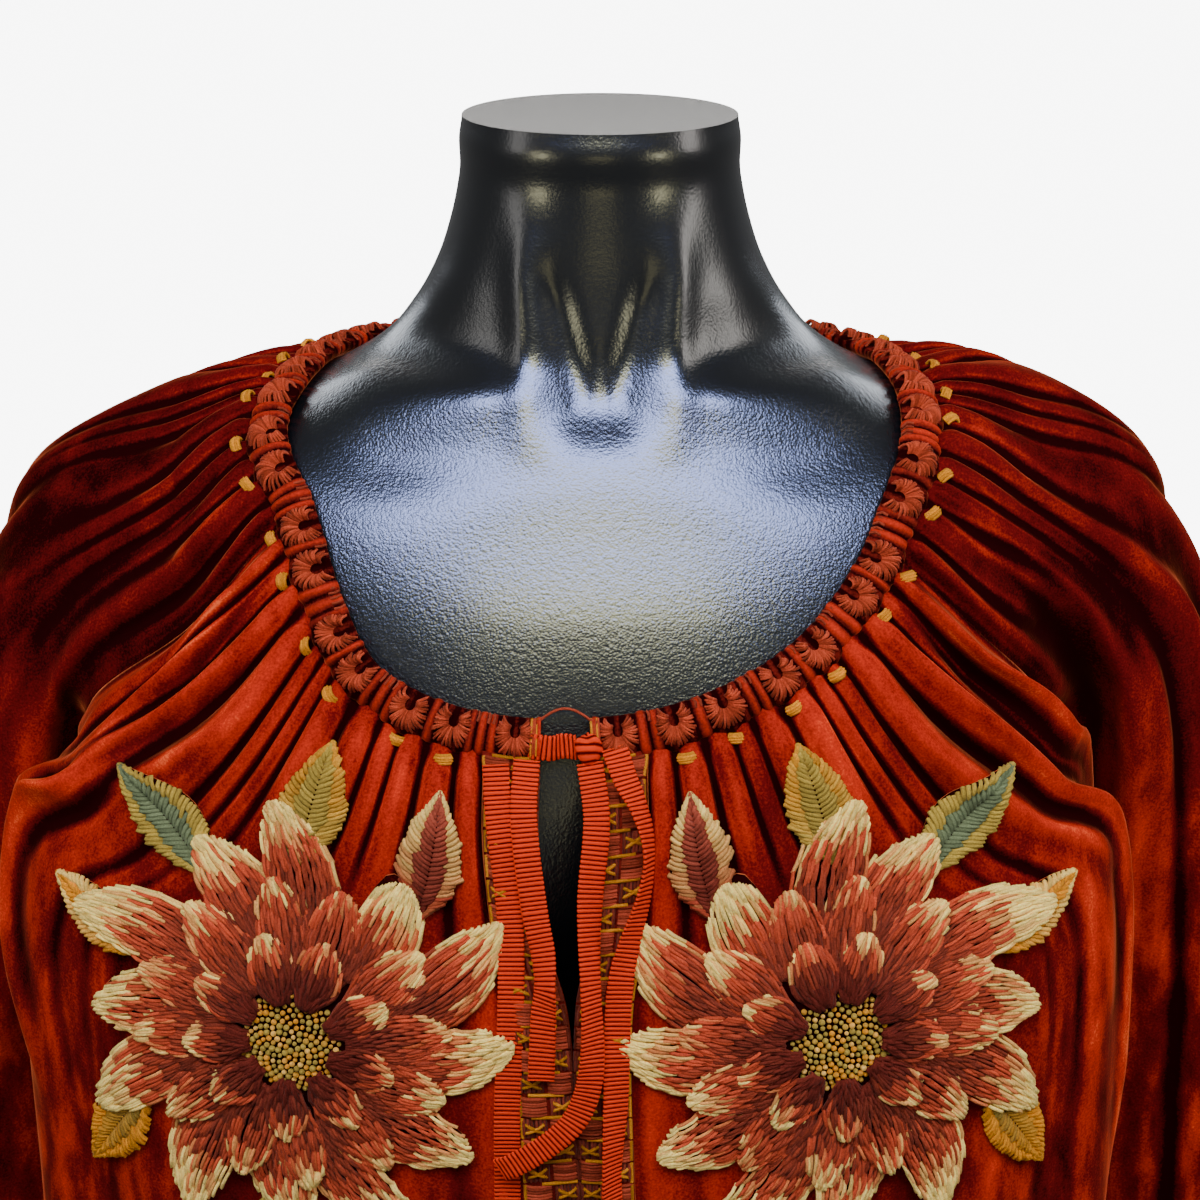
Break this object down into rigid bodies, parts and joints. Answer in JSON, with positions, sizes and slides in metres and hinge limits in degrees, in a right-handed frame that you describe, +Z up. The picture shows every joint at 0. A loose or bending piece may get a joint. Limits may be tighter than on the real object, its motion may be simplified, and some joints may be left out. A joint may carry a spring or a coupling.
{
  "type": "embroidered tunic top on a limbless dress form",
  "caption": "Gathered velvet tunic with raglan sleeves, a tied front slit and embroidered blooms, worn on a black torso dress form that stands on its flat base.",
  "frame": {"origin": "centre of the dress form's flat base, on the surface that it stands on", "axes": "+Z up, -Y towards the front of the tunic, +X towards the right of a viewer in front of it"},
  "size_m": [0.6504, 0.3007, 0.78],
  "materials": {
    "velvet": "crushed rust velvet",
    "neckband": "ruched velvet with brick thread",
    "placket": "velvet under gold and brick thread",
    "ribbon": "ribbed grosgrain",
    "bloom": "thick satin stitch in brick, cream and gold",
    "leaf": "thick satin stitch in gold, olive and grey-green",
    "form": "fine pebbled gloss black"
  },
  "bodies": {
    "root": {"form_torso": "form", "front": "velvet", "back": "velvet", "sleeve_left": "velvet", "sleeve_right": "velvet", "neckband": "neckband", "placket_left": "placket", "placket_right": "placket", "ribbon_strap": "ribbon", "ribbon_knot": "ribbon", "ribbon_loop_left": "ribbon", "ribbon_loop_right": "ribbon", "ribbon_tail_left": "ribbon", "ribbon_tail_right": "ribbon", "bloom_left": "bloom", "bloom_right": "bloom", "leaf_bud_left": "leaf", "leaf_bud_right": "leaf", "leaf_top_left": "leaf", "leaf_top_right": "leaf", "leaf_upper_left": "leaf", "leaf_upper_right": "leaf", "leaf_outer_left": "leaf", "leaf_outer_right": "leaf", "leaf_lower_left": "leaf", "leaf_lower_right": "leaf", "leaf_foot_left": "leaf", "leaf_foot_right": "leaf"}
  },
  "joints": []
}
